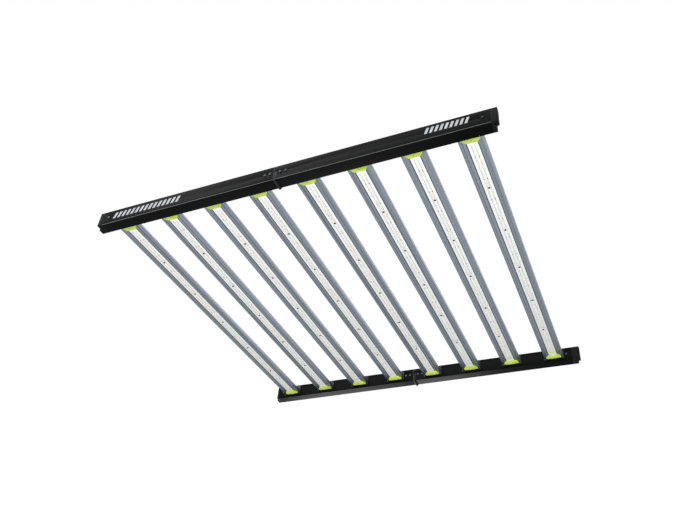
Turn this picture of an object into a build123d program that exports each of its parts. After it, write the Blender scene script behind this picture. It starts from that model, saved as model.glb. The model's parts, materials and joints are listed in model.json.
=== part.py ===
from build123d import *
import math
import os

# Folding eight-bar LED grow light. Millimetres, +Z up, LEDs face down.
# X runs along the rails with 0 at the fold line. Y runs along the light bars with
# 0 midway between the rails. Z is 0 at the underside of the fold barrels, the lowest point.

# ---------------------------------------------------------------- driving sizes
depth = 1108.7            # over the outer faces of the two rails
rail_overhang = 27.25     # rail extrusion past the edge of the last bar
rail_width = 35.0
rail_over_fins = 11.6     # rail's top over the tops of the middle fins
rail_wall = 2.0
bar_pitch = 140.5
bars_per_half = 4
bar_width = 62.0
bar_edge_height = 11.0    # height of the outermost fins
bar_crown_height = 20.0   # height of the middle fins
bar_lift = 13.8           # LED face above the rail's underside
board_width = 25.2
board_thickness = 1.6
end_cap_length = 23.0     # lime cap, along the bar
screw_step = 169.0        # board screws, along the bar

# ---------------------------------------------------------------- fold joint
barrel_radius = 4.0
pin_radius = 2.0
axis_drop = 0.5           # fold axis below the rail's underside
middle_knuckle = 10.4     # length of the tongue block's knuckle
running_fit = 0.05        # pin in the turning knuckle, radial
knuckle_gap = 0.3         # knuckle ends and tongue sides
cheek_thickness = 4.0
cheek_reach = 5.3         # cheeks stand this far past the fold line
fold_gap = 0.3            # cheek edge to the facing rail end
pocket_reach = 7.5        # pocket between the cheeks
web_height = 6.0          # web over each knuckle
block_end = 7.0           # hinge block plug past its last screw
block_fit = 0.1           # plug in the channel, per side
tongue_depth = 14.5       # underside of the tongue below the lock bolt
tongue_overlap = 6.0      # tongue past the fold line
lock_drop = 10.4          # lock bolt below the rail's top
lock_radius = 3.0
lock_head_radius = 5.0
lock_head_height = 2.5
lock_play = 0.4           # lock bolt in its holes, radial
nut_height = 4.0
nut_radius = 5.0          # across the corners / 2
block_screw_gap = 4.05    # head of the outer rail screw to the first bracket
pin_inset = 0.3           # pin ends from the rail's faces
bolt_end = 1.5            # lock bolt past its nut
lock_socket_radius = 2.6
lock_socket_depth = 1.6

# ---------------------------------------------------------------- rails and their ends
cover_thickness = 2.0
cover_fit = 0.15
ledge = 1.5
cap_plug = 26.0           # end cap inside the channel
cap_base = 8.0            # end cap outside the channel, inner half of the socket type
cap_step = 8.0            # tongue and socket step
cap_split_gap = 0.5
cap_corner = 2.0
rail_corner = 1.8         # lower edges of the rail
cap_wall = 2.5
link_hole_radius = 2.6
link_boss_radius = 5.0
link_boss_height = 0.3    # two of them face each other when the light is folded
link_boss_margin = 2.0    # link boss to the split between the cap's halves
end_screw_inset = 18.0    # rail end to the cap screw

# ---------------------------------------------------------------- light bars
bracket_margin = 2.0      # bracket past each side of the heatsink
bracket_thickness = 2.0
bracket_below = 6.0       # bracket under the LED face
bracket_cap_gap = 1.0     # cut-out of the bracket round the lime cap
bracket_screw_gap = 0.6   # tops of the middle fins to the head of a bracket screw
bracket_screw_edge = 2.0  # head of a bracket screw to the bracket's top edge
bracket_screw_steps = 2.5 # bracket screws from the bar's middle, in fin steps
bracket_corner = 3.0
base_thickness = 2.6      # heatsink web behind the board
fin_thickness = 1.5
fin_count = 11
port_radius = 3.0         # screw port in the extrusion
port_hole_radius = 1.7
port_sink = 0.6           # port sunk into the web
port_offset_fins = 2      # screw ports on the second fins from the middle
board_fit = 0.2
groove_width = 2.4        # shadow line beside the board
groove_depth = 2.2
wing_line_width = 1.0     # fine line along the middle of each wing
wing_line_depth = 0.6
cap_board_margin = 3.4    # lime cap past each side of the board
cap_wing = 7.0            # wing left bare on each side of the lime cap's wide end
cap_bulge = 5.2           # lime cap below the LED face at the rail
cap_lip = 1.6             # lime cap below the LED face at the board
cap_shoulder = 7.0        # straight sides at the rail, along the bar
cap_flare = 0.15          # slope of the sides at the board
lead_radius = 1.5
lead_play = 0.5
cap_pocket_width = 9.0
cap_pocket_height = 3.8
cap_pocket_length = 12.0
lead_drop = 2.0           # lead centre below the LED face
trunk_radius = 3.0
trunk_margin = 4.0

# ---------------------------------------------------------------- screws
screw_shank_radius = 1.7
screw_play = 0.2
screw_head_radius = 3.2
screw_head_height = 1.6
board_screw_head_radius = 2.7
board_screw_head_height = 1.1
board_shank_radius = 1.3
board_screw_length = 4.0
rail_screw_length = 6.0
board_screw_count = 5
screw_socket_radius = 1.6
screw_socket_depth = 0.9
head_chamfer = 0.5

# ---------------------------------------------------------------- hanging rings
ring_wire_radius = 1.6
ring_width = 26.0         # along the rail, over the wire
ring_depth = 22.0         # pivot to the far side of the wire's centre line
ring_corner = 5.0
ring_play = 0.3
ring_rest_gap = 0.3       # wire above the cover
ring_from_face = 7.0      # pivot from the rail's outer face
ring_inboard_steps = 0.25 # ring from the last bar towards the fold, in bar steps
saddle_width = 10.0
saddle_wall = 1.5
saddle_foot = 12.0
saddle_screw = 8.0        # screw from the pivot

# ---------------------------------------------------------------- power inlet
inlet_flange_radius = 11.0
inlet_flange = 2.5
inlet_barrel_radius = 8.0
inlet_barrel = 14.0
inlet_bore_radius = 5.5
inlet_bore = 6.0          # length of the mouth
inlet_well_radius = 4.6   # narrower well round the contacts
inlet_well = 5.0
inlet_tail_radius = 6.0
inlet_tail = 12.0
inlet_nut = 4.0
inlet_nut_radius = 9.0
inlet_rise = 3.3          # above the middle of the rail's height
inlet_after_bars = 2      # bars between the fold and the inlet
inlet_contacts = 3
inlet_pin_radius = 0.8
inlet_pin_length = 5.0    # as deep as the well
inlet_pin_circle = 2.8
running_gap = 0.3         # inlet tail in the rail wall

# ---------------------------------------------------------------- worked out
bar_centres = [bar_pitch * (i + 0.5) for i in range(bars_per_half)]
rail_reach = bar_centres[-1] + bar_width / 2 + rail_overhang
rail_height = bar_lift + bar_crown_height + rail_over_fins
rail_bottom = barrel_radius + axis_drop
axis_z = barrel_radius
led_z = rail_bottom + bar_lift
rail_top = rail_bottom + rail_height
outer_y = depth / 2
inner_y = outer_y - rail_width
rail_mid_y = outer_y - rail_width / 2
floor_top = rail_bottom + rail_wall
cover_bottom = rail_top - cover_thickness
plug_top = cover_bottom - ledge - block_fit
plug_width = rail_width - 2 * rail_wall - 2 * block_fit
rail_mid_z = rail_bottom + rail_height / 2
lock_z = rail_top - lock_drop
tongue_bottom = lock_z - tongue_depth
bracket_width = bar_width + 2 * bracket_margin
block_screw_far = bar_centres[0] - bracket_width / 2 - screw_head_radius - block_screw_gap
block_screw_near = block_screw_far / 2
block_reach = block_screw_far + block_end
tongue_plane = cheek_reach + fold_gap
web_top = axis_z + web_height
screw_hole_radius = screw_shank_radius + screw_play
board_hole_radius = board_shank_radius + screw_play
cap_split_y = -rail_mid_y
link_y = cap_split_y - cap_split_gap - link_boss_radius - link_boss_margin
heatsink_length = 2 * (inner_y - bracket_thickness)
board_length = 2 * (inner_y - end_cap_length)
fin_step = (bar_width - fin_thickness) / (fin_count - 1)
port_x = port_offset_fins * fin_step
port_z = led_z + board_thickness + base_thickness + port_radius - port_sink
bracket_screw_x = bracket_screw_steps * fin_step
bracket_screw_z = led_z + bar_crown_height + bracket_screw_gap + screw_head_radius
bracket_top = bracket_screw_z + screw_head_radius + bracket_screw_edge
lead_z = led_z - lead_drop
wire_hole_radius = lead_radius + lead_play
tongue_side = rail_width / 2 - cheek_thickness - knuckle_gap
knuckle_side = middle_knuckle / 2 + knuckle_gap
groove_x = board_width / 2 + board_fit + groove_width / 2
wing_line_x = (groove_x + groove_width / 2 + bar_width / 2) / 2
cap_narrow = board_width + 2 * cap_board_margin
cap_wide = bar_width - 2 * cap_wing
link_x = rail_reach + cap_base
ring_pivot_y = outer_y - ring_from_face
ring_pivot_z = rail_top + ring_rest_gap + ring_wire_radius
saddle_screw_y = -ring_pivot_y + saddle_screw
inlet_z = rail_mid_z + inlet_rise
inlet_x = bar_pitch * inlet_after_bars
ring_x = bar_centres[-1] - bar_pitch * ring_inboard_steps
cap_screw_x = rail_reach - end_screw_inset
board_screw_ys = [screw_step * (i - (board_screw_count - 1) / 2) for i in range(board_screw_count)]

os.makedirs("parts", exist_ok=True)
written = []


def save(piece, name):
    """Label a piece and write it."""
    piece.label = name
    export_step(piece, f"parts/{name}.step")
    written.append(name)


def box_between(x0, x1, y0, y1, z0, z1, mode=Mode.ADD):
    """A block between two corners, added to the part being built."""
    with BuildSketch(Plane.XY.offset(z0)) as outline:
        with Locations(((x0 + x1) / 2, (y0 + y1) / 2)):
            Rectangle(abs(x1 - x0), abs(y1 - y0))
    extrude(outline.sketch, amount=z1 - z0, mode=mode)


def rod_y(x, z, radius, y0, y1, mode=Mode.ADD):
    """A round rod or bore along Y."""
    with BuildSketch(Plane.XZ.offset(-y0)) as outline:
        with Locations((x, z)):
            Circle(radius)
    extrude(outline.sketch, amount=-(y1 - y0), mode=mode)


def rod_x(y, z, radius, x0, x1, mode=Mode.ADD):
    """A round rod or bore along X."""
    with BuildSketch(Plane.YZ.offset(x0)) as outline:
        with Locations((y, z)):
            Circle(radius)
    extrude(outline.sketch, amount=x1 - x0, mode=mode)


def rod_z(x, y, radius, z0, z1, mode=Mode.ADD):
    """A round rod or bore along Z."""
    with BuildSketch(Plane.XY.offset(z0)) as outline:
        with Locations((x, y)):
            Circle(radius)
    extrude(outline.sketch, amount=z1 - z0, mode=mode)


def near_band(half_width):
    """Two Y values either side of the near rail's middle."""
    return -rail_mid_y - half_width, -rail_mid_y + half_width


def solids_of(*pieces):
    """One compound that holds every solid of the given pieces."""
    return Compound([solid for piece in pieces for solid in piece.solids()])


def turn(piece):
    """The same piece on the far rail: half a turn about Z."""
    return Rot(0, 0, 180) * piece


def make_rail(side, start, wired):
    """Half of the near rail: an open-topped channel, from the fold out to its end cap."""
    with BuildPart() as rail:
        with BuildSketch(Plane.YZ.offset(side * start)):
            with Locations((-rail_mid_y, rail_mid_z)):
                Rectangle(rail_width, rail_height)
            with Locations((-rail_mid_y, rail_mid_z + rail_wall)):
                Rectangle(rail_width - 2 * rail_wall, rail_height, mode=Mode.SUBTRACT)
            with Locations((-rail_mid_y, cover_bottom - ledge / 2)):
                Rectangle(rail_width, ledge)
                Rectangle(rail_width - 2 * (rail_wall + ledge), ledge, mode=Mode.SUBTRACT)
        extrude(amount=side * (rail_reach - start))
        fillet(rail.edges().filter_by(Axis.X).group_by(Axis.Z)[0], rail_corner)
        for x in (block_screw_near, block_screw_far, cap_screw_x):
            rod_y(side * x, rail_mid_z, screw_hole_radius, -outer_y, -inner_y, Mode.SUBTRACT)
        for x in bar_centres:
            for offset_x in (-bracket_screw_x, bracket_screw_x):
                rod_y(side * x + offset_x, bracket_screw_z, screw_hole_radius,
                      -rail_mid_y, -inner_y, Mode.SUBTRACT)
            if wired:
                rod_y(side * x, lead_z, wire_hole_radius, -rail_mid_y, -inner_y, Mode.SUBTRACT)
        if wired:
            rod_y(side * inlet_x, inlet_z, inlet_tail_radius + running_gap,
                  -rail_mid_y, -inner_y, Mode.SUBTRACT)
    return rail.part


def make_cover(side, start):
    """The strip that closes the channel over the wiring."""
    with BuildPart() as cover:
        y0, y1 = near_band(rail_width / 2 - rail_wall - cover_fit)
        box_between(side * start, side * rail_reach, y0, y1, cover_bottom, rail_top)
        rod_z(side * ring_x, saddle_screw_y, screw_hole_radius, cover_bottom, rail_top,
              Mode.SUBTRACT)
    return cover.part


def make_fork_block():
    """Hinge block of the fork half: a plug in the channel, two cheeks and two knuckles."""
    near_face = -outer_y
    inner_face = -inner_y
    plug_y0, plug_y1 = near_band(plug_width / 2)
    pocket_y0, pocket_y1 = near_band(rail_width / 2 - cheek_thickness)
    knuckle_y0, knuckle_y1 = near_band(knuckle_side)
    with BuildPart() as fork:
        box_between(-block_reach, -cheek_reach, plug_y0, plug_y1, floor_top, plug_top)
        box_between(-cheek_reach, cheek_reach, near_face, inner_face, rail_bottom, rail_top)
        box_between(-pocket_reach, cheek_reach, pocket_y0, pocket_y1, rail_bottom, rail_top,
                    Mode.SUBTRACT)
        for y0, y1 in ((near_face, knuckle_y0), (knuckle_y1, inner_face)):
            rod_y(0, axis_z, barrel_radius, y0, y1)
            box_between(-cheek_reach, barrel_radius, y0, y1, rail_bottom, web_top)
        for y0, y1 in ((pocket_y0, knuckle_y0), (knuckle_y1, pocket_y1)):
            box_between(-pocket_reach, -cheek_reach, y0, y1, floor_top, web_top)
        rod_y(0, axis_z, pin_radius, near_face, inner_face, Mode.SUBTRACT)
        rod_y(0, lock_z, lock_radius + lock_play, near_face, inner_face, Mode.SUBTRACT)
        for x in (block_screw_near, block_screw_far):
            rod_y(-x, rail_mid_z, screw_hole_radius, near_face, inner_face, Mode.SUBTRACT)
    return fork.part


def make_tongue_block():
    """Hinge block of the tongue half: a plug, a tongue between the cheeks, one knuckle."""
    plug_y0, plug_y1 = near_band(plug_width / 2)
    tongue_y0, tongue_y1 = near_band(tongue_side)
    knuckle_y0, knuckle_y1 = near_band(middle_knuckle / 2)
    slot_radius = lock_radius + lock_play
    arm = lock_z - axis_z
    slot_drop = arm - math.sqrt(arm ** 2 - (tongue_overlap + lock_radius) ** 2)
    with BuildPart() as tongue:
        box_between(tongue_plane, block_reach, plug_y0, plug_y1, floor_top, plug_top)
        box_between(-tongue_overlap, tongue_plane, tongue_y0, tongue_y1,
                    tongue_bottom, plug_top)
        rod_y(0, lock_z, slot_radius, tongue_y0, tongue_y1, Mode.SUBTRACT)
        box_between(-tongue_overlap, 0, tongue_y0, tongue_y1,
                    lock_z - slot_radius - slot_drop, lock_z + slot_radius, Mode.SUBTRACT)
        rod_y(0, axis_z, barrel_radius, knuckle_y0, knuckle_y1)
        box_between(0, tongue_plane, knuckle_y0, knuckle_y1, rail_bottom, web_top)
        rod_y(0, axis_z, pin_radius + running_fit, knuckle_y0, knuckle_y1, Mode.SUBTRACT)
        for x in (block_screw_near, block_screw_far):
            rod_y(x, rail_mid_z, screw_hole_radius, plug_y0, plug_y1, Mode.SUBTRACT)
    return tongue.part


def make_hinge_pin():
    """Steel pin, held in the fork's knuckles."""
    with BuildPart() as pin:
        rod_y(0, axis_z, pin_radius, -outer_y + pin_inset, -inner_y - pin_inset)
        chamfer(pin.edges().filter_by(GeomType.CIRCLE), pin_inset)
    return pin.part


def make_lock_bolt():
    """Bolt through both cheeks, with its socket head outside and its nut inside."""
    with BuildPart() as bolt:
        rod_y(0, lock_z, lock_head_radius, -outer_y - lock_head_height, -outer_y)
        chamfer(bolt.faces().sort_by(Axis.Y)[0].edges(), head_chamfer)
        rod_y(0, lock_z, lock_radius, -outer_y, -inner_y + nut_height + bolt_end)
        with BuildSketch(Plane.XZ.offset(outer_y + lock_head_height)):
            with Locations((0, lock_z)):
                RegularPolygon(lock_socket_radius, 6)
        extrude(amount=-lock_socket_depth, mode=Mode.SUBTRACT)
    with BuildPart() as nut:
        with BuildSketch(Plane.XZ.offset(inner_y)):
            with Locations((0, lock_z)):
                RegularPolygon(nut_radius, 6)
                Circle(lock_radius + running_fit, mode=Mode.SUBTRACT)
        extrude(amount=-nut_height)
    return solids_of(bolt.part, nut.part)


def make_end_cap(side, inner_reach):
    """Moulded rail end. Its inner half stands out as a tongue or is set back as a socket."""
    plug_y0, plug_y1 = near_band(plug_width / 2)
    hollow_y0, hollow_y1 = near_band(plug_width / 2 - cap_wall)
    tip = rail_reach + cap_base + cap_step
    with BuildPart() as cap:
        box_between(side * rail_reach, side * tip, -outer_y, cap_split_y - cap_split_gap,
                    rail_bottom, rail_top)
        box_between(side * rail_reach, side * (rail_reach + inner_reach),
                    cap_split_y - cap_split_gap, -inner_y, rail_bottom, rail_top)
        if inner_reach > cap_base + cap_step:
            box_between(side * tip, side * (rail_reach + inner_reach),
                        cap_split_y - cap_split_gap, cap_split_y + cap_split_gap,
                        rail_bottom, rail_top, Mode.SUBTRACT)
        low_edges = cap.edges().filter_by(Axis.X).group_by(Axis.Z)[0].group_by(Axis.Y)
        fillet(low_edges[0] + low_edges[-1], rail_corner)
        ends = cap.edges().filter_by(Axis.Z).group_by(Axis.X)
        fillet(ends[-1 if side > 0 else 0], cap_corner)
        rod_z(side * link_x, link_y, link_boss_radius, rail_bottom - link_boss_height,
              rail_bottom)
        box_between(side * (rail_reach - cap_plug), side * rail_reach, plug_y0, plug_y1,
                    floor_top, plug_top)
        box_between(side * (rail_reach - cap_plug), side * rail_reach, hollow_y0, hollow_y1,
                    floor_top + cap_wall, plug_top - cap_wall, Mode.SUBTRACT)
        rod_z(side * link_x, link_y, link_hole_radius, rail_bottom - link_boss_height,
              rail_top, Mode.SUBTRACT)
        rod_y(side * cap_screw_x, rail_mid_z, screw_hole_radius, plug_y0, plug_y1,
              Mode.SUBTRACT)
    return cap.part


def fin_height(x):
    """Height of the fin at x above the LED face: the tops follow a shallow crown."""
    share = abs(x) / (bar_width / 2)
    return bar_crown_height - (bar_crown_height - bar_edge_height) * share ** 2


def make_heatsink(bar_x):
    """Extruded heatsink, one profile from bracket to bracket."""
    web_bottom = led_z
    web_height_all = board_thickness + base_thickness
    with BuildPart() as heatsink:
        with BuildSketch(Plane.XZ.offset(heatsink_length / 2)):
            with Locations((bar_x, web_bottom + web_height_all / 2)):
                Rectangle(bar_width, web_height_all)
            for i in range(fin_count):
                x = (i - (fin_count - 1) / 2) * fin_step
                top = fin_height(x)
                with Locations((bar_x + x, web_bottom + top / 2)):
                    Rectangle(fin_thickness, top)
            for x in (-port_x, port_x):
                with Locations((bar_x + x, port_z)):
                    Circle(port_radius)
                    Circle(port_hole_radius, mode=Mode.SUBTRACT)
            with Locations((bar_x, web_bottom + board_thickness / 2)):
                Rectangle(board_width + 2 * board_fit, board_thickness, mode=Mode.SUBTRACT)
            for x in (-groove_x, groove_x):
                with Locations((bar_x + x, web_bottom + groove_depth / 2)):
                    Rectangle(groove_width, groove_depth, mode=Mode.SUBTRACT)
            for x in (-wing_line_x, wing_line_x):
                with Locations((bar_x + x, web_bottom + wing_line_depth / 2)):
                    Rectangle(wing_line_width, wing_line_depth, mode=Mode.SUBTRACT)
        extrude(amount=-heatsink_length)
        for y in board_screw_ys:
            rod_z(bar_x, y, board_hole_radius, web_bottom, web_bottom + web_height_all,
                  Mode.SUBTRACT)
    return heatsink.part


def make_board(bar_x):
    """LED circuit board in the heatsink's channel, its face level with the underside."""
    with BuildPart() as board:
        half = board_width / 2
        box_between(bar_x - half, bar_x + half, -board_length / 2, board_length / 2,
                    led_z, led_z + board_thickness)
        for y in board_screw_ys:
            rod_z(bar_x, y, board_hole_radius, led_z, led_z + board_thickness, Mode.SUBTRACT)
    return board.part


def make_lime_cap(bar_x):
    """Moulded cover over the near end of a board, flared and deeper towards the rail."""
    back_y = -heatsink_length / 2
    nose_y = -board_length / 2
    shoulder_y = back_y + cap_shoulder
    low_z = led_z - cap_bulge
    with BuildPart() as cap:
        with BuildSketch(Plane.XY.offset(low_z)):
            with BuildLine():
                Line((bar_x - cap_wide / 2, back_y), (bar_x + cap_wide / 2, back_y))
                Line((bar_x + cap_wide / 2, back_y), (bar_x + cap_wide / 2, shoulder_y))
                Spline((bar_x + cap_wide / 2, shoulder_y), (bar_x + cap_narrow / 2, nose_y),
                       tangents=((0, 1), (-cap_flare, 1)))
                Line((bar_x + cap_narrow / 2, nose_y), (bar_x - cap_narrow / 2, nose_y))
                Spline((bar_x - cap_narrow / 2, nose_y), (bar_x - cap_wide / 2, shoulder_y),
                       tangents=((-cap_flare, -1), (0, -1)))
                Line((bar_x - cap_wide / 2, shoulder_y), (bar_x - cap_wide / 2, back_y))
            make_face()
        extrude(amount=cap_bulge)
        with BuildSketch(Plane.YZ.offset(bar_x - cap_wide)):
            with BuildLine():
                Polyline((nose_y, led_z - cap_lip), (nose_y, low_z), (shoulder_y, low_z),
                         close=True)
            make_face()
        extrude(amount=2 * cap_wide, mode=Mode.SUBTRACT)
        box_between(bar_x - cap_pocket_width / 2, bar_x + cap_pocket_width / 2,
                    back_y, back_y + cap_pocket_length, led_z - cap_pocket_height, led_z,
                    Mode.SUBTRACT)
    return cap.part


def make_bracket(bar_x, wired):
    """Plate between a heatsink's end and the near rail's inner face."""
    plate_y = -inner_y
    with BuildPart() as bracket:
        box_between(bar_x - bracket_width / 2, bar_x + bracket_width / 2,
                    plate_y, plate_y + bracket_thickness,
                    led_z - bracket_below, bracket_top)
        fillet(bracket.edges().filter_by(Axis.Y), bracket_corner)
        box_between(bar_x - cap_wide / 2 - bracket_cap_gap,
                    bar_x + cap_wide / 2 + bracket_cap_gap,
                    plate_y, plate_y + bracket_thickness,
                    led_z - bracket_below, led_z, Mode.SUBTRACT)
        for x in (-bracket_screw_x, bracket_screw_x):
            rod_y(bar_x + x, bracket_screw_z, screw_hole_radius, plate_y,
                  plate_y + bracket_thickness, Mode.SUBTRACT)
        for x in (-port_x, port_x):
            rod_y(bar_x + x, port_z, port_hole_radius, plate_y, plate_y + bracket_thickness,
                  Mode.SUBTRACT)
        if wired:
            rod_y(bar_x, lead_z, wire_hole_radius, plate_y, plate_y + bracket_thickness,
                  Mode.SUBTRACT)
    return bracket.part


def make_screw(place):
    """Socket-head machine screw. The place's Z axis points out of the face it is on."""
    with BuildPart() as screw:
        with BuildSketch(place):
            Circle(screw_head_radius)
        extrude(amount=screw_head_height)
        with BuildSketch(place):
            Circle(screw_shank_radius)
        extrude(amount=-rail_screw_length)
        with BuildSketch(place.offset(screw_head_height)):
            RegularPolygon(screw_socket_radius, 6)
        extrude(amount=-screw_socket_depth, mode=Mode.SUBTRACT)
    return screw.part


def make_board_screw(bar_x, y):
    """Small button screw through the board into the heatsink."""
    with BuildPart() as screw:
        rod_z(bar_x, y, board_screw_head_radius, led_z - board_screw_head_height, led_z)
        fillet(screw.edges().group_by(Axis.Z)[0], head_chamfer)
        rod_z(bar_x, y, board_shank_radius, led_z, led_z + board_screw_length)
    return screw.part


def make_ring(side):
    """Hanging ring of round wire: a rounded rectangle with one side in the saddle."""
    half = ring_width / 2 - ring_wire_radius
    x = side * ring_x
    near_y = -ring_pivot_y
    with BuildPart() as ring:
        with BuildLine(Plane.XY.offset(ring_pivot_z)):
            FilletPolyline((x, near_y), (x + half, near_y), (x + half, near_y + ring_depth),
                           (x, near_y + ring_depth), radius=ring_corner)
        with BuildSketch(Plane(origin=(x, near_y, ring_pivot_z), x_dir=(0, 1, 0),
                               z_dir=(1, 0, 0))):
            Circle(ring_wire_radius)
        sweep()
        mirror(about=Plane.YZ.offset(x))
    return ring.part


def make_saddle(side):
    """Strap over the ring's pivot side, with a foot screwed down through the cover."""
    x0 = side * ring_x - saddle_width / 2
    x1 = side * ring_x + saddle_width / 2
    pivot_y = -ring_pivot_y
    bore = ring_wire_radius + ring_play
    with BuildPart() as saddle:
        rod_x(pivot_y, ring_pivot_z, bore + saddle_wall, x0, x1)
        box_between(x0, x1, pivot_y - bore - saddle_wall, pivot_y + bore + saddle_wall,
                    rail_top, ring_pivot_z)
        box_between(x0, x1, pivot_y, pivot_y + saddle_foot, rail_top, rail_top + saddle_wall)
        box_between(x0, x1, pivot_y - saddle_foot, pivot_y + saddle_foot,
                    rail_top - saddle_foot, rail_top, Mode.SUBTRACT)
        rod_x(pivot_y, ring_pivot_z, bore, x0, x1, Mode.SUBTRACT)
        box_between(x0, x1, pivot_y - bore, pivot_y + bore, rail_top, ring_pivot_z,
                    Mode.SUBTRACT)
        rod_z(side * ring_x, saddle_screw_y, screw_hole_radius, rail_top,
              rail_top + saddle_wall, Mode.SUBTRACT)
    return saddle.part


def make_inlet(side):
    """Round panel socket on the near rail's inner face, with its nut inside the channel."""
    x = side * inlet_x
    face = -inner_y
    inside = face - rail_wall
    mouth = face + inlet_barrel
    well_mouth = mouth - inlet_bore
    with BuildPart() as socket:
        rod_y(x, inlet_z, inlet_flange_radius, face, face + inlet_flange)
        rod_y(x, inlet_z, inlet_barrel_radius, face, mouth)
        rod_y(x, inlet_z, inlet_tail_radius, face - inlet_tail, face)
        rod_y(x, inlet_z, inlet_bore_radius, well_mouth, mouth, Mode.SUBTRACT)
        rod_y(x, inlet_z, inlet_well_radius, well_mouth - inlet_well, well_mouth,
              Mode.SUBTRACT)
        for i in range(inlet_contacts):
            angle = math.radians(90 + 360 / inlet_contacts * i)
            rod_y(x + inlet_pin_circle * math.cos(angle),
                  inlet_z + inlet_pin_circle * math.sin(angle), inlet_pin_radius,
                  well_mouth - inlet_well, well_mouth - inlet_well + inlet_pin_length)
    with BuildPart() as nut:
        with BuildSketch(Plane.XZ.offset(-inside)):
            with Locations((x, inlet_z)):
                RegularPolygon(inlet_nut_radius, 6)
                Circle(inlet_tail_radius + running_fit, mode=Mode.SUBTRACT)
        extrude(amount=inlet_nut)
    return solids_of(socket.part, nut.part)


def make_wiring(side):
    """Harness in the near rail: a trunk, one lead to each board and a tail to the inlet."""
    mid_y = -rail_mid_y
    with BuildPart() as wiring:
        rod_x(mid_y, lead_z, trunk_radius, side * (block_reach + trunk_margin),
              side * (rail_reach - cap_plug - trunk_margin))
        for bar_x in bar_centres:
            rod_y(side * bar_x, lead_z, lead_radius, mid_y,
                  -heatsink_length / 2 + cap_pocket_length - lead_play)
        rod_z(side * inlet_x, mid_y, lead_radius, lead_z, inlet_z + lead_radius)
        rod_y(side * inlet_x, inlet_z, lead_radius, mid_y, -inner_y - inlet_tail)
    return wiring.part


def frame_screws(side):
    """Screws of one half of the near rail: hinge block, end cap, brackets and saddle."""
    screws = []
    for x in (block_screw_near, block_screw_far, cap_screw_x):
        for y, way in ((-outer_y, -1), (-inner_y, 1)):
            place = Plane(origin=(side * x, y, rail_mid_z), z_dir=(0, way, 0))
            screws.append(make_screw(place))
    for bar_x in bar_centres:
        for offset_x in (-bracket_screw_x, bracket_screw_x):
            place = Plane(origin=(side * bar_x + offset_x, -inner_y + bracket_thickness,
                                  bracket_screw_z), z_dir=(0, 1, 0))
            screws.append(make_screw(place))
    place = Plane(origin=(side * ring_x, saddle_screw_y, rail_top + saddle_wall),
                  z_dir=(0, 0, 1))
    screws.append(make_screw(place))
    return screws


# ---------------------------------------------------------------- the two rails
# The near rail has the fork on its left half. The far rail is the same assembly swung half
# a turn about Z, without the wiring and the inlets.
LEFT = -1
RIGHT = 1
save(make_rail(LEFT, cheek_reach, True), "near_left_rail")
save(make_rail(RIGHT, tongue_plane, True), "near_right_rail")
save(turn(make_rail(LEFT, cheek_reach, False)), "far_right_rail")
save(turn(make_rail(RIGHT, tongue_plane, False)), "far_left_rail")

left_cover = make_cover(LEFT, cheek_reach)
right_cover = make_cover(RIGHT, tongue_plane)
save(left_cover, "near_left_cover")
save(right_cover, "near_right_cover")
save(turn(left_cover), "far_right_cover")
save(turn(right_cover), "far_left_cover")

tongue_cap = make_end_cap(LEFT, cap_base + 2 * cap_step)
socket_cap = make_end_cap(RIGHT, cap_base)
save(tongue_cap, "near_left_end_cap")
save(socket_cap, "near_right_end_cap")
save(turn(tongue_cap), "far_right_end_cap")
save(turn(socket_cap), "far_left_end_cap")

fork_block = make_fork_block()
tongue_block = make_tongue_block()
hinge_pin = make_hinge_pin()
lock_bolt = make_lock_bolt()
save(fork_block, "near_fork_block")
save(tongue_block, "near_tongue_block")
save(hinge_pin, "near_hinge_pin")
save(lock_bolt, "near_lock_bolt")
save(turn(fork_block), "far_fork_block")
save(turn(tongue_block), "far_tongue_block")
save(turn(hinge_pin), "far_hinge_pin")
save(turn(lock_bolt), "far_lock_bolt")

# ---------------------------------------------------------------- hanging rings
left_ring = make_ring(LEFT)
right_ring = make_ring(RIGHT)
left_saddle = make_saddle(LEFT)
right_saddle = make_saddle(RIGHT)
save(left_ring, "near_left_ring")
save(right_ring, "near_right_ring")
save(turn(left_ring), "far_right_ring")
save(turn(right_ring), "far_left_ring")
save(solids_of(left_saddle, turn(right_saddle)), "left_ring_saddles")
save(solids_of(right_saddle, turn(left_saddle)), "right_ring_saddles")

# ---------------------------------------------------------------- light bars, left to right
bars = [-x for x in reversed(bar_centres)] + bar_centres
for number, bar_x in enumerate(bars, start=1):
    near_cap = make_lime_cap(bar_x)
    save(make_heatsink(bar_x), f"bar_{number}_heatsink")
    save(make_board(bar_x), f"bar_{number}_board")
    save(solids_of(near_cap, mirror(near_cap, about=Plane.XZ)), f"bar_{number}_end_caps")

# ---------------------------------------------------------------- pieces kept in groups
near_screws = {LEFT: frame_screws(LEFT), RIGHT: frame_screws(RIGHT)}
for side, half in ((LEFT, "left"), (RIGHT, "right")):
    own_bars = [side * x for x in bar_centres]
    near_brackets = [make_bracket(x, True) for x in own_bars]
    far_brackets = [turn(make_bracket(-x, False)) for x in own_bars]
    save(solids_of(*near_brackets, *far_brackets), f"{half}_brackets")
    far_screws = [turn(screw) for screw in near_screws[-side]]
    save(solids_of(*near_screws[side], *far_screws), f"{half}_frame_screws")
    board_screws = [make_board_screw(x, y) for x in own_bars for y in board_screw_ys]
    save(solids_of(*board_screws), f"{half}_board_screws")
    save(make_inlet(side), f"{half}_power_inlet")
    save(make_wiring(side), f"{half}_wiring")

print(len(written), "pieces written")
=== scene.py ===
"""Looks of a folding eight-bar LED grow light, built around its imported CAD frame."""
import json
import math

import bmesh
import bpy
from bpy.props import FloatProperty, FloatVectorProperty, IntProperty, PointerProperty
from mathutils import Euler, Matrix, Vector

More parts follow.
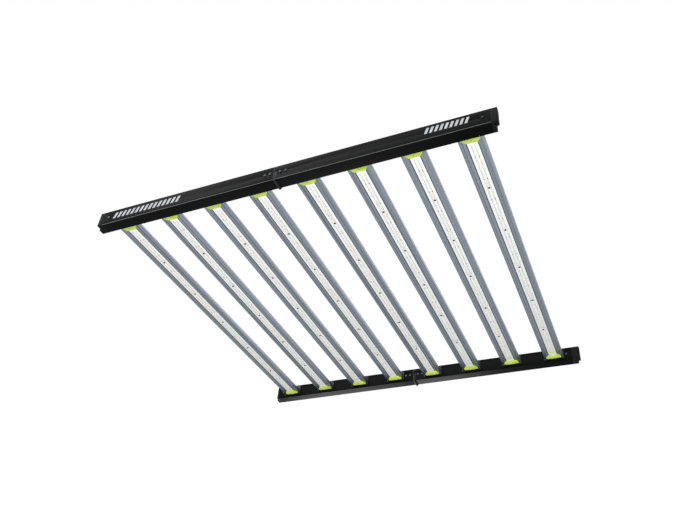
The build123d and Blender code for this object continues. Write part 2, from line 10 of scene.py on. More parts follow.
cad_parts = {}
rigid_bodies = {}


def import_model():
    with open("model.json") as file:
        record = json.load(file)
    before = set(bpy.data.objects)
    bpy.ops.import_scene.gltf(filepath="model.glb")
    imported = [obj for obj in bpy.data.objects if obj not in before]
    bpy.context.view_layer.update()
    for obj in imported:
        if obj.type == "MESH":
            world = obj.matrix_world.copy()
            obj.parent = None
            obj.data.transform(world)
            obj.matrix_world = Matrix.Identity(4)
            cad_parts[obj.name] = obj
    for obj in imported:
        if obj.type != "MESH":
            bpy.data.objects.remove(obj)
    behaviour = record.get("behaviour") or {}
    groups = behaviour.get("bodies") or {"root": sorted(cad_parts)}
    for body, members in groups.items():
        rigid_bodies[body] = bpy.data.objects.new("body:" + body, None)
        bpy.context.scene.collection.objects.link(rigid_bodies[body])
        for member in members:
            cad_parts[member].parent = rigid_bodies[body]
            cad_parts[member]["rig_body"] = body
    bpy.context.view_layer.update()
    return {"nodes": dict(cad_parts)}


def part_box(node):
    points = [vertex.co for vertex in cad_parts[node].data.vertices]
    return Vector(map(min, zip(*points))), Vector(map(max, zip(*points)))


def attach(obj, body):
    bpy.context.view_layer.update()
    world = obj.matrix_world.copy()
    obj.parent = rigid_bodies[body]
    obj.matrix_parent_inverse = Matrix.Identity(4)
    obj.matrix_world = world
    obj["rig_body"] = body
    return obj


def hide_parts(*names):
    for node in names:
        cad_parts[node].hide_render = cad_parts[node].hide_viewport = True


bl_info = {
    "name": "Folding LED Grow Light",
    "version": (1, 0, 0),
    "blender": (4, 5, 0),
    "location": "3D View > Sidebar > Grow Light",
    "description": "Finishes the pieces of a folding grow light and sets up its studio",
    "category": "Object",
}

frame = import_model()
MM = 0.001

HALVES = ("left", "right")
BARS = range(1, 9)
RINGS = ("near_left_ring", "near_right_ring", "far_left_ring", "far_right_ring")

# Cleaning of a CAD copy before its corners are rounded.
MERGE_DISTANCE = 0.002 * MM
FLAT_ANGLE = math.radians(0.6)
SHARP_ANGLE = math.radians(35.0)

# Rails: how far a face has to lean outwards and down to count as the lower outer corner, which
# is painted lighter as a highlight.
CORNER_LEAN = 0.35

# Heatsinks: a groove's floor faces down and lies this far above the underside. The floors are
# painted darker as shade.
FACING_DOWN = -0.9
GROOVE_SHALLOWEST = 0.3 * MM
GROOVE_DEEPEST = 3 * MM

# Solder pads on the boards, in pairs either side of the LED rows.
PAD_GAP = 16 * MM
PAD_RADIUS = 0.9 * MM
PAD_HEIGHT = 0.06 * MM
PAD_SIDES = 10

# LED packages: wall round the lens, and how far the lens is set in.
LED_WALL = 0.35 * MM
LENS_DEPTH = 0.08 * MM

# Lime caps: wider than the board by this much at the nose, with a lip there. The bulge is a
# share of the CAD cap's height.
CAP_OVER_BOARD = 6.8 * MM
CAP_LIP = 1.2 * MM
CAP_BULGE = 0.72
CAP_SHOULDER = 7 * MM
CAP_CROWN = 1.0 * MM

# Printed dashes.
INK_HEIGHT = 0.06 * MM
DASH_SHARE = 0.55
DASH_SLANT = 6 * MM

# Studio. The camera's turn is in degrees about X, Y and Z.
CAMERA_LENS = 36.967
CAMERA_SENSOR = 36.0
CAMERA_PLACE = (0.74585, -1.58903, -1.21473)
CAMERA_TURN = (128.6463, -4.7347, 23.8604)
BACKDROP_STRENGTH = 1.0
LIGHTING_STRENGTH = 0.62
FLOOR_RADIUS = 12.0
FLOOR_HEIGHT = -2.4

# Each light's name, place, aim, size in metres and power in watts.
MIDDLE = (0, 0, 0)
LIGHTS = (
    ("low front", (0.9, -2.6, -2.0), MIDDLE, 1.6, 80),
    ("high left", (-2.2, -2.6, 2.4), MIDDLE, 1.8, 40),
    ("high back", (1.2, 2.4, 2.6), MIDDLE, 2.2, 14),
    ("overhead", (0.2, 0.3, 3.2), MIDDLE, 3.0, 60),
)

# These fall on the dark frame alone, to model its faces without overexposing the bare metal.
FRAME_LIGHTS = (
    ("frame face", (-0.9, -2.6, 2.4), MIDDLE, 4.2, 200),
    ("frame edge", (-2.1, -2.4, -1.6), (-0.4, -0.5, 0), 0.8, 120),
    ("frame back", (-1.2, 2.7, -1.25), (-0.3, 0.5, 0), 1.5, 100),
)


def bar_body(number):
    """Bars one to four ride on the left half, the rest on the right half."""
    return "left_half" if number <= len(BARS) // 2 else "right_half"


# ------------------------------------------------------------------ settings


class GROWLIGHT_PG_sizes(bpy.types.PropertyGroup):
    """Sizes of the pieces that are modelled here, in metres."""

    led_length: FloatProperty(
        name="LED length", description="Package size along the bar",
        default=3.5 * MM, unit="LENGTH")
    led_width: FloatProperty(
        name="LED width", description="Package size across the bar",
        default=3.4 * MM, unit="LENGTH")
    led_height: FloatProperty(
        name="LED height", description="Package height under the board",
        default=0.75 * MM, unit="LENGTH")
    led_pitch: FloatProperty(
        name="LED pitch", description="Spacing of the packages along the bar",
        default=4.3 * MM, unit="LENGTH")
    led_row: FloatProperty(
        name="LED row", description="Distance of each LED row from the board's middle",
        default=4.5 * MM, unit="LENGTH")
    red_every: IntProperty(
        name="Red step", description="One package in this many has a darker lens for red light",
        default=18, min=2)
    cap_round: FloatProperty(
        name="Cap rounding", description="Edge radius of the lime caps",
        default=1.3 * MM, unit="LENGTH")


class GROWLIGHT_PG_finishes(bpy.types.PropertyGroup):
    """Colours of the finishes, as sRGB values."""

    coat: FloatVectorProperty(
        name="Powder coat", description="Black coat of the rails",
        subtype="COLOR_GAMMA", size=3, default=(0.032, 0.032, 0.034))
    anodised: FloatVectorProperty(
        name="Anodised", description="Blue-grey of the heatsink extrusions",
        subtype="COLOR_GAMMA", size=3, default=(0.62, 0.65, 0.69))
    lime: FloatVectorProperty(
        name="Lime", description="Lime green moulded caps",
        subtype="COLOR_GAMMA", size=3, default=(0.79, 0.87, 0.34))
    mask: FloatVectorProperty(
        name="Solder mask", description="White face of the boards",
        subtype="COLOR_GAMMA", size=3, default=(0.955, 0.96, 0.97))
    phosphor: FloatVectorProperty(
        name="Phosphor", description="Yellow phosphor of the white LEDs",
        subtype="COLOR_GAMMA", size=3, default=(0.90, 0.89, 0.80))


def sizes():
    return bpy.context.scene.grow_light_sizes


def finishes():
    return bpy.context.scene.grow_light_finishes


# ------------------------------------------------------------------ materials


def values(colour):
    """The three sRGB values of a hex string, or of a colour that is already three values."""
    if isinstance(colour, str):
        return [int(colour[i:i + 2], 16) / 255 for i in (1, 3, 5)]
    return colour


def linear(colour):
    """An sRGB colour turned to linear RGBA."""
    out = []
    for c in values(colour):
        out.append(c / 12.92 if c <= 0.04045 else ((c + 0.055) / 1.055) ** 2.4)
    return (*out, 1.0)


def add(tree, kind, links=None, **settings):
    """One node with its settings. links maps an input's name or number to a socket."""
    node = tree.nodes.new(kind)
    for name, value in settings.items():
        if hasattr(node, name):
            setattr(node, name, value)
        else:
            node.inputs[name.replace("_", " ")].default_value = value
    for name, socket in (links or {}).items():
        tree.links.new(socket, node.inputs[name])
    return node


def new_material(name, colour, roughness, metallic=0.0, ior=None):
    """A principled material with its constants set on the shader's own sockets."""
    material = bpy.data.materials.new(name)
    material.use_nodes = True
    shader = material.node_tree.nodes["Principled BSDF"]
    shader.inputs["Base Color"].default_value = linear(colour)
    shader.inputs["Roughness"].default_value = roughness
    shader.inputs["Metallic"].default_value = metallic
    if ior is not None:
        shader.inputs["IOR"].default_value = ior
    return material, material.node_tree, shader


def stretched(tree, scale):
    """Object coordinates stretched by scale, so grain is long where scale is small."""
    coordinate = add(tree, "ShaderNodeTexCoord")
    mapping = add(tree, "ShaderNodeMapping", {"Vector": coordinate.outputs["Object"]})
    mapping.inputs["Scale"].default_value = scale
    return mapping.outputs["Vector"]


def tinted(tree, factor, dark, light, low=0.3, high=0.7):
    """A ramp from one colour to another over a factor."""
    ramp = add(tree, "ShaderNodeValToRGB", {"Fac": factor})
    ramp.color_ramp.elements[0].position = low
    ramp.color_ramp.elements[0].color = linear(dark)
    ramp.color_ramp.elements[1].position = high
    ramp.color_ramp.elements[1].color = linear(light)
    return ramp.outputs["Color"]


def ranged(tree, factor, low, high):
    """A factor from 0 to 1 turned to a range of values."""
    node = add(tree, "ShaderNodeMapRange", {"Value": factor})
    node.inputs["To Min"].default_value = low
    node.inputs["To Max"].default_value = high
    return node.outputs["Result"]


def bumped(tree, shader, height, distance):
    """Bump on the shader from a height socket."""
    bump = add(tree, "ShaderNodeBump", {"Height": height})
    bump.inputs["Distance"].default_value = distance
    tree.links.new(bump.outputs["Normal"], shader.inputs["Normal"])


def shade(colour, factor):
    """An sRGB colour made lighter or darker."""
    return [min(1.0, c * factor) for c in values(colour)]


def powder_coat():
    """Baked polyester powder on aluminium, with a faint orange peel.

    Its specular level is far below a real satin coat's, so it stays nearly free of highlights.
    """
    colour = finishes().coat
    material, tree, shader = new_material("powder coated aluminium, flat black", colour,
                                          0.42, ior=1.5)
    shader.inputs["Specular IOR Level"].default_value = 0.015
    peel = add(tree, "ShaderNodeTexNoise", {"Vector": stretched(tree, (1, 1, 1))},
               Scale=420.0, Detail=3.0)
    cloud = add(tree, "ShaderNodeTexNoise", {"Vector": stretched(tree, (1, 3, 3))},
                Scale=6.0, Detail=4.0)
    tree.links.new(tinted(tree, cloud.outputs["Fac"], shade(colour, 0.86),
                          shade(colour, 1.14)), shader.inputs["Base Color"])
    tree.links.new(ranged(tree, cloud.outputs["Fac"], 0.36, 0.50),
                   shader.inputs["Roughness"])
    bumped(tree, shader, peel.outputs["Fac"], 0.00004)
    return material


def anodised_extrusion(name="clear anodised extrusion", along="Y", tone=1.0):
    """Extruded and anodised aluminium: soft metal with long die lines."""
    colour = shade(finishes().anodised, tone)
    material, tree, shader = new_material(name, colour, 0.38, metallic=1.0)
    scale = (900, 1.5, 900) if along == "Y" else (1.5, 900, 900)
    lines = add(tree, "ShaderNodeTexNoise", {"Vector": stretched(tree, scale)},
                Scale=1.0, Detail=3.0)
    broad = add(tree, "ShaderNodeTexNoise",
                {"Vector": stretched(tree, [s * 0.22 for s in scale])},
                Scale=1.0, Detail=2.0)
    mixed = add(tree, "ShaderNodeMath", {0: lines.outputs["Fac"], 1: broad.outputs["Fac"]},
                operation="ADD")
    half = add(tree, "ShaderNodeMath", {0: mixed.outputs["Value"]}, operation="MULTIPLY")
    half.inputs[1].default_value = 0.5
    tree.links.new(tinted(tree, half.outputs["Value"], shade(colour, 0.86),
                          shade(colour, 1.12), 0.38, 0.62), shader.inputs["Base Color"])
    tree.links.new(ranged(tree, half.outputs["Value"], 0.30, 0.46),
                   shader.inputs["Roughness"])
    bumped(tree, shader, lines.outputs["Fac"], 0.00003)
    return material


def moulded(name, colour, roughness, grain=600.0, depth=0.00003, coat=0.0, gloss=0.5):
    """An even colour with a fine grain, as on moulded plastic or a coated casting.

    gloss is the specular level: 0.5 for a bare plastic, and near 0 for a very dull surface.
    """
    material, tree, shader = new_material(name, colour, roughness, ior=1.49)
    texture = add(tree, "ShaderNodeTexNoise", {"Vector": stretched(tree, (1, 1, 1))},
                  Scale=grain, Detail=2.0)
    flow = add(tree, "ShaderNodeTexNoise", {"Vector": stretched(tree, (1, 1, 1))},
               Scale=45.0, Detail=3.0)
    tree.links.new(tinted(tree, flow.outputs["Fac"], shade(colour, 0.94),
                          shade(colour, 1.05)), shader.inputs["Base Color"])
    tree.links.new(ranged(tree, flow.outputs["Fac"], roughness - 0.06, roughness + 0.08),
                   shader.inputs["Roughness"])
    shader.inputs["Coat Weight"].default_value = coat
    shader.inputs["Specular IOR Level"].default_value = gloss
    bumped(tree, shader, texture.outputs["Fac"], depth)
    return material


def solder_mask():
    """White screen-printed solder mask over copper: the traces show as faint steps."""
    colour = finishes().mask
    material, tree, shader = new_material("white solder mask", colour, 0.42, ior=1.5)
    brick = add(tree, "ShaderNodeTexBrick", {"Vector": stretched(tree, (1, 1, 1))})
    brick.inputs["Scale"].default_value = 1.0
    brick.inputs["Brick Width"].default_value = 0.0055
    brick.inputs["Row Height"].default_value = sizes().led_pitch
    brick.inputs["Mortar Size"].default_value = 0.0004
    brick.inputs["Color1"].default_value = (1, 1, 1, 1)
    brick.inputs["Color2"].default_value = (1, 1, 1, 1)
    brick.inputs["Mortar"].default_value = (0, 0, 0, 1)
    tree.links.new(tinted(tree, brick.outputs["Color"], shade(colour, 0.955), colour,
                          0.0, 1.0), shader.inputs["Base Color"])
    bumped(tree, shader, brick.outputs["Color"], 0.00004)
    return material


def phosphor_gel():
    """Silicone with yellow phosphor powder: soft, slightly glossy and translucent."""
    colour = finishes().phosphor
    material, tree, shader = new_material("phosphor silicone", colour, 0.32, ior=1.41)
    grain = add(tree, "ShaderNodeTexNoise", {"Vector": stretched(tree, (1, 1, 1))},
                Scale=900.0, Detail=2.0)
    tree.links.new(tinted(tree, grain.outputs["Fac"], shade(colour, 0.90),
                          shade(colour, 1.08)), shader.inputs["Base Color"])
    return material


def steel(name, colour, roughness):
    """Plated or blackened steel with fine tumbling marks."""
    material, tree, shader = new_material(name, colour, roughness, metallic=1.0)
    marks = add(tree, "ShaderNodeTexNoise", {"Vector": stretched(tree, (1, 1, 1))},
                Scale=700.0, Detail=4.0)
    tree.links.new(ranged(tree, marks.outputs["Fac"], roughness - 0.10, roughness + 0.12),
                   shader.inputs["Roughness"])
    tree.links.new(tinted(tree, marks.outputs["Fac"], shade(colour, 0.9),
                          shade(colour, 1.08)), shader.inputs["Base Color"])
    bumped(tree, shader, marks.outputs["Fac"], 0.00002)
    return material


def make_finishes():
    """Every finish of the light, by the name that the operators use."""
    lime = finishes().lime
    return {
        "coat": powder_coat(),
        "anodised": anodised_extrusion(),
        # painted highlight: a lighter grey coat on the rails' rounded lower outer corner
        "corner_highlight": moulded("powder coat, rubbed thin at a corner", "#4a4a4c", 0.45, 420.0,
                          0.00004, gloss=0.1),
        # painted shade: a darker anodised tone on the groove floors of the heatsinks
        "groove": anodised_extrusion("anodised groove, dull with dust", tone=0.72),
        "bracket": anodised_extrusion("dark anodised sheet", along="X", tone=0.36),
        "lime": moulded("lime ABS, moulded", lime, 0.36, coat=0.2),
        "plastic": moulded("black glass-filled nylon, moulded", "#101011", 0.5, gloss=0.02),
        "casting": moulded("dark grey coated zinc casting", "#1d1e1f", 0.45, 500.0, 0.00005,
                           gloss=0.03),
        "mask": solder_mask(),
        "phosphor": phosphor_gel(),
        "package": moulded("white LED package, PPA", "#dcd9c8", 0.45),
        "red_lens": moulded("unlit red LED lens, silicone", "#8f7f78", 0.18),
        "black_steel": steel("black oxide steel", "#3a3a3d", 0.42),
        "screw_steel": steel("blackened stainless steel", "#5c5d60", 0.36),
        "zinc": steel("zinc plated steel", "#b9bcc2", 0.34),
        "jacket": moulded("PVC cable jacket", "#1c1c1d", 0.55, 300.0),
        "print": moulded("pale grey pad print", "#b9bcc0", 0.55),
    }


FINISH = {}


def finish(name):
    """A finish, made the first time any of them is asked for."""
    if not FINISH:
        FINISH.update(make_finishes())
    return FINISH[name]


# ------------------------------------------------------------------ mesh tools


def block(bm, low, high):
    """A box between two corners. Returns its vertices."""
    low, high = Vector(low), Vector(high)
    size = high - low
    place = Matrix.Translation((low + high) / 2) @ Matrix.Diagonal((*size, 1.0))
    return bmesh.ops.create_cube(bm, size=1.0, matrix=place)["verts"]


def faces_of(verts):
    """The faces whose corners are all in verts."""
    chosen = set(verts)
    found = {face for vert in verts for face in vert.link_faces}
    return [face for face in found if all(v in chosen for v in face.verts)]


def disc(bm, centre, radius, height, sides):
    """A short upright cylinder, centred on a point."""
    bmesh.ops.create_cone(bm, cap_ends=True, cap_tris=False, segments=sides, radius1=radius,
                          radius2=radius, depth=height, matrix=Matrix.Translation(centre))


def join_into(bm, one):
    """Adds one bmesh to another and frees it."""
    mesh = bpy.data.meshes.new("part of a piece")
    one.to_mesh(mesh)
    one.free()
    bm.from_mesh(mesh)
    bpy.data.meshes.remove(mesh)


def round_edges(bm, edges, width, segments=2):
    """Bevels edges with round sections."""
    bmesh.ops.bevel(bm, geom=edges, offset=width, offset_type="OFFSET", segments=segments,
                    profile=0.5, affect="EDGES", clamp_overlap=True, material=-1)


def piece(name, bm, materials, body, sharp=35.0, recalculate=True):
    """Turns a bmesh into a piece that rides on a body."""
    if recalculate:
        bmesh.ops.recalc_face_normals(bm, faces=bm.faces)
    limit = math.radians(sharp)
    for face in bm.faces:
        face.smooth = True
    for edge in bm.edges:
        edge.smooth = edge.calc_face_angle(math.pi) < limit
    mesh = bpy.data.meshes.new(name)
    bm.to_mesh(mesh)
    bm.free()
    for material in materials:
        mesh.materials.append(material)
    made = bpy.data.objects.new(name, mesh)
    bpy.context.scene.collection.objects.link(made)
    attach(made, body)
    return made


# ------------------------------------------------------------------ CAD copies


def body_of(node):
    return frame["nodes"][node]["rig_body"]


def finished(node, finish_name, rounding, segments=2):
    """A merged copy of a CAD node with softened corners, which stands for the node."""
    bm = bmesh.new()
    bm.from_mesh(frame["nodes"][node].data)
    bmesh.ops.remove_doubles(bm, verts=bm.verts, dist=MERGE_DISTANCE)
    bmesh.ops.dissolve_limit(bm, angle_limit=FLAT_ANGLE, verts=bm.verts, edges=bm.edges,
                             delimit={"NORMAL"})
    sharp = [edge for edge in bm.edges
             if edge.is_manifold and edge.calc_face_angle() > SHARP_ANGLE]
    if rounding:
        round_edges(bm, sharp, rounding, segments)
    made = piece(f"{node}_finished", bm, [finish(finish_name)], body_of(node))
    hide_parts(node)
    return made


def paint_corner_highlight(made, outward):
    """Gives the rounded lower outer corner of a rail a lighter coat, a painted highlight."""
    made.data.materials.append(finish("corner_highlight"))
    for face in made.data.polygons:
        if face.normal.y * outward > CORNER_LEAN and face.normal.z < -CORNER_LEAN:
            face.material_index = 1


class GROWLIGHT_OT_rails(bpy.types.Operator):
    """Powder coated rails and covers, with their moulded end caps"""

    bl_idname = "grow_light.rails"
    bl_label = "Rails"

    def execute(self, context):
        for side, outward in (("near", -1), ("far", 1)):
            for half in HALVES:
                rail = finished(f"{side}_{half}_rail", "coat", 0.35 * MM)
                paint_corner_highlight(rail, outward)
                finished(f"{side}_{half}_cover", "coat", 0.3 * MM)
                finished(f"{side}_{half}_end_cap", "plastic", 0.5 * MM, 3)
        return {"FINISHED"}


class GROWLIGHT_OT_fold_joint(bpy.types.Operator):
    """Cast hinge blocks, their pins and the lock bolts"""

    bl_idname = "grow_light.fold_joint"
    bl_label = "Fold joint"

    def execute(self, context):
        for side in ("near", "far"):
            finished(f"{side}_fork_block", "casting", 0.4 * MM)
            finished(f"{side}_tongue_block", "casting", 0.3 * MM)
            finished(f"{side}_hinge_pin", "black_steel", 0.0)
            finished(f"{side}_lock_bolt", "black_steel", 0.2 * MM)
        return {"FINISHED"}


def shade_grooves(made, face):
    """Gives the floors of the grooves in a heatsink's underside a darker finish, as painted
    shade.
    """
    made.data.materials.append(finish("groove"))
    for polygon in made.data.polygons:
        depth = polygon.center.z - face
        if polygon.normal.z < FACING_DOWN and GROOVE_SHALLOWEST < depth < GROOVE_DEEPEST:
            polygon.material_index = 1


class GROWLIGHT_OT_heatsinks(bpy.types.Operator):
    """Anodised heatsink extrusions and the bracket plates at their ends"""

    bl_idname = "grow_light.heatsinks"
    bl_label = "Heatsinks"

    def execute(self, context):
        for number in BARS:
            node = f"bar_{number}_heatsink"
            sink = finished(node, "anodised", 0.22 * MM)
            shade_grooves(sink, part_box(node)[0].z)
        for half in HALVES:
            finished(f"{half}_brackets", "bracket", 0.3 * MM)
        return {"FINISHED"}


def pad_pair(bm, x, y, face):
    """Two round solder pads side by side on a board's face."""
    for way in (-1, 1):
        disc(bm, (x + way * PAD_GAP / 2, y, face - PAD_HEIGHT / 2), PAD_RADIUS, PAD_HEIGHT,
             PAD_SIDES)


class GROWLIGHT_OT_boards(bpy.types.Operator):
    """White circuit boards with pairs of tinned pads"""

    bl_idname = "grow_light.boards"
    bl_label = "Boards"

    def execute(self, context):
        for number in BARS:
            node = f"bar_{number}_board"
            finished(node, "mask", 0.15 * MM)
            low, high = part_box(node)
            x = (low.x + high.x) / 2
            step = sizes().led_pitch * sizes().red_every
            count = int((high.y - low.y) / step)
            bm = bmesh.new()
            for i in range(count):
                y = (i - (count - 1) / 2) * step + step / 4
                pad_pair(bm, x, y, low.z)
            piece(f"bar_{number}_pads", bm, [finish("zinc")], bar_body(number))
        return {"FINISHED"}


def led_package(bm):
    """One LED: an open-backed moulded frame round a lens set slightly in. Returns the lens."""
    length, width, height = sizes().led_length, sizes().led_width, sizes().led_height
    verts = block(bm, (-width / 2, -length / 2, -height), (width / 2, length / 2, 0))
    back = [f for f in faces_of(verts) if f.normal.z > 0.5]
    bmesh.ops.delete(bm, geom=back, context="FACES_ONLY")
    lens = [f for f in faces_of(verts) if f.normal.z < -0.5]
    bmesh.ops.inset_region(bm, faces=lens, thickness=LED_WALL, depth=-LENS_DEPTH)
    for face in lens:
        face.material_index = 1
    return lens


class GROWLIGHT_OT_leds(bpy.types.Operator):
    """Two rows of LED packages on each board, with a darker pair at every red step"""

    bl_idname = "grow_light.leds"
    bl_label = "LED packages"

    def execute(self, context):
        low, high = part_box("bar_1_board")
        pitch = sizes().led_pitch
        count = int((high.y - low.y - 2 * pitch) / pitch)
        strip = bmesh.new()
        for row in (-1, 1):
            for i in range(count):
                one = bmesh.new()
                lens = led_package(one)
                if i % sizes().red_every == sizes().red_every // 2:
                    for face in lens:
                        face.material_index = 2
                shift = Vector((row * sizes().led_row, (i - (count - 1) / 2) * pitch, 0))
                bmesh.ops.translate(one, verts=one.verts, vec=shift)
                join_into(strip, one)
        for number in BARS:
            low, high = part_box(f"bar_{number}_board")
            bm = strip.copy()
            bmesh.ops.translate(bm, verts=bm.verts,
                                vec=Vector(((low.x + high.x) / 2, 0, low.z)))
            piece(f"bar_{number}_leds", bm,
                  [finish("package"), finish("phosphor"), finish("red_lens")],
                  bar_body(number), recalculate=False)
        strip.free()
        return {"FINISHED"}


def lime_cap(bm, centre, nose_y, back_y, face, narrow, wide, bulge):
    """One moulded cap: its plan flares from the board to the rail in a soft curve."""
    across, along = 12, 16
    length = abs(back_y - nose_y)
    way = 1 if back_y > nose_y else -1
    made = bmesh.ops.create_grid(bm, x_segments=across, y_segments=along, size=0.5)["verts"]
    for vert in made:
        u, v = vert.co.x * 2, vert.co.y + 0.5
        t = min(1.0, v * length / (length - CAP_SHOULDER))
        swell = 3 * t ** 2 - 2 * t ** 3
        half = (narrow + (wide - narrow) * min(1.0, swell)) / 2
        deep = CAP_LIP + (bulge - CAP_LIP) * t ** 0.8 - CAP_CROWN * t * u ** 2
        vert.co = Vector((centre + u * half, nose_y + way * v * length, face - deep))
    rim = [edge for edge in bm.edges if edge.is_boundary]
    walls = bmesh.ops.extrude_edge_only(bm, edges=rim)["geom"]
    top = [item for item in walls if isinstance(item, bmesh.types.BMVert)]
    for vert in top:
        vert.co.z = face
    open_edges = [edge for edge in bm.edges if edge.is_boundary]
    bmesh.ops.edgenet_fill(bm, edges=open_edges)
    round_edges(bm, rim, sizes().cap_round, 3)


class GROWLIGHT_OT_lime_caps(bpy.types.Operator):
    """Lime caps over both ends of every board"""

    bl_idname = "grow_light.lime_caps"
    bl_label = "Lime caps"

    def execute(self, context):
        for number in BARS:
            node = f"bar_{number}_end_caps"
            low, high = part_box(node)
            board_low, board_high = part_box(f"bar_{number}_board")
            narrow = board_high.x - board_low.x + CAP_OVER_BOARD
            bm = bmesh.new()
            for nose_y, back_y in ((board_low.y, low.y), (board_high.y, high.y)):
                one = bmesh.new()
                lime_cap(one, (low.x + high.x) / 2, nose_y, back_y, high.z, narrow,
                         high.x - low.x, CAP_BULGE * (high.z - low.z))
                join_into(bm, one)
            made = piece(f"bar_{number}_lime_caps", bm, [finish("lime")], bar_body(number),
                         sharp=50.0)
            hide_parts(node)
        return {"FINISHED"}


class GROWLIGHT_OT_screws(bpy.types.Operator):
    """Machine screws of the frame and the small screws that hold the boards"""

    bl_idname = "grow_light.screws"
    bl_label = "Screws"

    def execute(self, context):
        for half in HALVES:
            finished(f"{half}_frame_screws", "screw_steel", 0.18 * MM)
            finished(f"{half}_board_screws", "black_steel", 0.0)
        return {"FINISHED"}


class GROWLIGHT_OT_rings(bpy.types.Operator):
    """Hanging rings and the saddles that hold them"""

    bl_idname = "grow_light.rings"
    bl_label = "Hanging rings"

    def execute(self, context):
        for ring in RINGS:
            finished(ring, "zinc", 0.0)
        for half in HALVES:
            finished(f"{half}_ring_saddles", "zinc", 0.2 * MM)
        return {"FINISHED"}


class GROWLIGHT_OT_power(bpy.types.Operator):
    """Power inlets and the wiring inside the near rail"""

    bl_idname = "grow_light.power"
    bl_label = "Power inlets"

    def execute(self, context):
        for half in HALVES:
            finished(f"{half}_power_inlet", "plastic", 0.25 * MM)
            finished(f"{half}_wiring", "jacket", 0.0)
        return {"FINISHED"}


def stripes(name, body, first_x, last_x, low_z, high_z, pitch):
    """A printed row of slanted dashes on the near rail's outer face."""
    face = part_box("near_left_rail")[0].y
    bm = bmesh.new()
    count = int((last_x - first_x) / pitch)
    for i in range(count):
        x = first_x + i * pitch
        verts = block(bm, (x, face - INK_HEIGHT, low_z),
                      (x + DASH_SHARE * pitch, face, high_z))
        upper = [v for v in verts if v.co.z > (low_z + high_z) / 2]
        bmesh.ops.translate(bm, verts=upper, vec=Vector((DASH_SLANT, 0, 0)))
    piece(name, bm, [finish("print")], body)


class GROWLIGHT_OT_prints(bpy.types.Operator):
    """Plain rows of printed dashes near the ends of the outer face"""

    bl_idname = "grow_light.prints"
    bl_label = "Printed dashes"

    def execute(self, context):
        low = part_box("near_left_rail")[0]
        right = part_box("near_right_rail")[1].x
        stripes("left_printed_dashes", "left_half", low.x + 34 * MM, low.x + 260 * MM,
                low.z + 14 * MM, low.z + 34 * MM, 15 * MM)
        stripes("right_printed_dashes", "right_half", right - 156 * MM, right - 38 * MM,
                low.z + 18 * MM, low.z + 37 * MM, 12 * MM)
        return {"FINISHED"}


# ------------------------------------------------------------------ stage


def area_light(name, place, target, size, power, only=None):
    """A soft square light aimed at a point. The camera doesn't see it.

    only is a collection of the pieces that the light falls on. Without it, all are lit.
    """
    data = bpy.data.lights.new(name, "AREA")
    data.shape = "SQUARE"
    data.size = size
    data.energy = power
    lamp = bpy.data.objects.new(name, data)
    bpy.context.scene.collection.objects.link(lamp)
    aim = Vector(target) - Vector(place)
    lamp.location = place
    lamp.rotation_euler = aim.to_track_quat("-Z", "Y").to_euler()
    lamp.visible_camera = False
    if only:
        lamp.light_linking.receiver_collection = only


def dark_frame_pieces():
    """The side rails with their end caps and hinge blocks."""
    ends = ("_rail_finished", "_end_cap_finished", "_block_finished")
    return [thing for thing in bpy.data.objects if thing.name.endswith(ends)]


def studio_world():
    """White behind the light, and a softer grey for everything it lights."""
    world = bpy.data.worlds.new("studio")
    world.use_nodes = True
    tree = world.node_tree
    tree.nodes.clear()
    seen = add(tree, "ShaderNodeBackground")
    seen.inputs["Color"].default_value = (1, 1, 1, 1)
    seen.inputs["Strength"].default_value = BACKDROP_STRENGTH
    lighting = add(tree, "ShaderNodeBackground")
    lighting.inputs["Color"].default_value = linear("#eef2f6")
    lighting.inputs["Strength"].default_value = LIGHTING_STRENGTH
    path = add(tree, "ShaderNodeLightPath")
    mix = add(tree, "ShaderNodeMixShader",
              {0: path.outputs["Is Camera Ray"], 1: lighting.outputs["Background"],
               2: seen.outputs["Background"]})
    add(tree, "ShaderNodeOutputWorld", {"Surface": mix.outputs["Shader"]})
    bpy.context.scene.world = world


def studio_floor():
    """Matt pale paper, well below the light."""
    bm = bmesh.new()
    bmesh.ops.create_circle(bm, cap_ends=True, segments=96, radius=FLOOR_RADIUS,
                            matrix=Matrix.Translation((0, 0, FLOOR_HEIGHT)))
    mesh = bpy.data.meshes.new("floor")
    bm.to_mesh(mesh)
    bm.free()
    material, tree, shader = new_material("matt paper", "#e9e9e7", 0.9, ior=1.45)
    grain = add(tree, "ShaderNodeTexNoise", {"Vector": stretched(tree, (1, 1, 1))},
                Scale=3.0, Detail=4.0)
    tree.links.new(tinted(tree, grain.outputs["Fac"], "#e6e6e4", "#ededeb"),
                   shader.inputs["Base Color"])
    mesh.materials.append(material)
    floor = bpy.data.objects.new("floor", mesh)
    bpy.context.scene.collection.objects.link(floor)


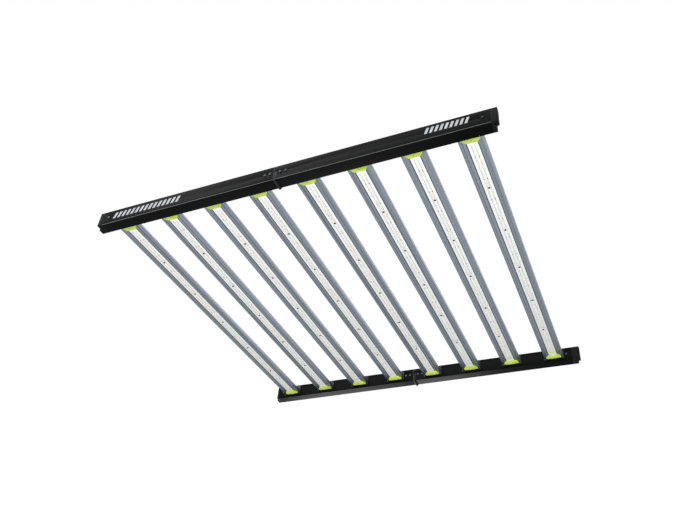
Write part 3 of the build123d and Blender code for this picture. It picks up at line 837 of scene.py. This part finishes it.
class GROWLIGHT_OT_stage(bpy.types.Operator):
    """Camera below the near right corner, studio lights and a pale floor"""

    bl_idname = "grow_light.stage"
    bl_label = "Stage"

    def execute(self, context):
        camera = bpy.data.cameras.new("camera")
        camera.lens = CAMERA_LENS
        camera.sensor_width = CAMERA_SENSOR
        eye = bpy.data.objects.new("camera", camera)
        turn = Euler([math.radians(angle) for angle in CAMERA_TURN]).to_matrix().to_4x4()
        eye.matrix_world = Matrix.Translation(CAMERA_PLACE) @ turn
        context.scene.collection.objects.link(eye)
        context.scene.camera = eye
        context.scene.view_settings.view_transform = "Standard"
        studio_world()
        studio_floor()
        for light in LIGHTS:
            area_light(*light)
        dark_frame = bpy.data.collections.new("dark frame")
        for part in dark_frame_pieces():
            dark_frame.objects.link(part)
        for light in FRAME_LIGHTS:
            area_light(*light, only=dark_frame)
        return {"FINISHED"}


# ------------------------------------------------------------------ add-on

PIECE_OPERATORS = (
    GROWLIGHT_OT_rails,
    GROWLIGHT_OT_fold_joint,
    GROWLIGHT_OT_heatsinks,
    GROWLIGHT_OT_boards,
    GROWLIGHT_OT_leds,
    GROWLIGHT_OT_lime_caps,
    GROWLIGHT_OT_screws,
    GROWLIGHT_OT_rings,
    GROWLIGHT_OT_power,
    GROWLIGHT_OT_prints,
    GROWLIGHT_OT_stage,
)


class GROWLIGHT_PT_panel(bpy.types.Panel):
    """Sizes, finishes and the operators that make each group of pieces"""

    bl_idname = "GROWLIGHT_PT_panel"
    bl_label = "Folding LED Grow Light"
    bl_space_type = "VIEW_3D"
    bl_region_type = "UI"
    bl_category = "Grow Light"

    def draw(self, context):
        for group in (sizes(), finishes()):
            for name in group.bl_rna.properties.keys():
                if name not in ("rna_type", "name"):
                    self.layout.prop(group, name)
        for operator in PIECE_OPERATORS:
            self.layout.operator(operator.bl_idname)


CLASSES = (GROWLIGHT_PG_sizes, GROWLIGHT_PG_finishes, *PIECE_OPERATORS, GROWLIGHT_PT_panel)


def register():
    for item in CLASSES:
        bpy.utils.register_class(item)
    bpy.types.Scene.grow_light_sizes = PointerProperty(type=GROWLIGHT_PG_sizes)
    bpy.types.Scene.grow_light_finishes = PointerProperty(type=GROWLIGHT_PG_finishes)


def unregister():
    del bpy.types.Scene.grow_light_finishes
    del bpy.types.Scene.grow_light_sizes
    for item in reversed(CLASSES):
        bpy.utils.unregister_class(item)


def main():
    register()
    for operator in PIECE_OPERATORS:
        group, name = operator.bl_idname.split(".")
        getattr(getattr(bpy.ops, group), name)()


if __name__ == "__main__":
    main()
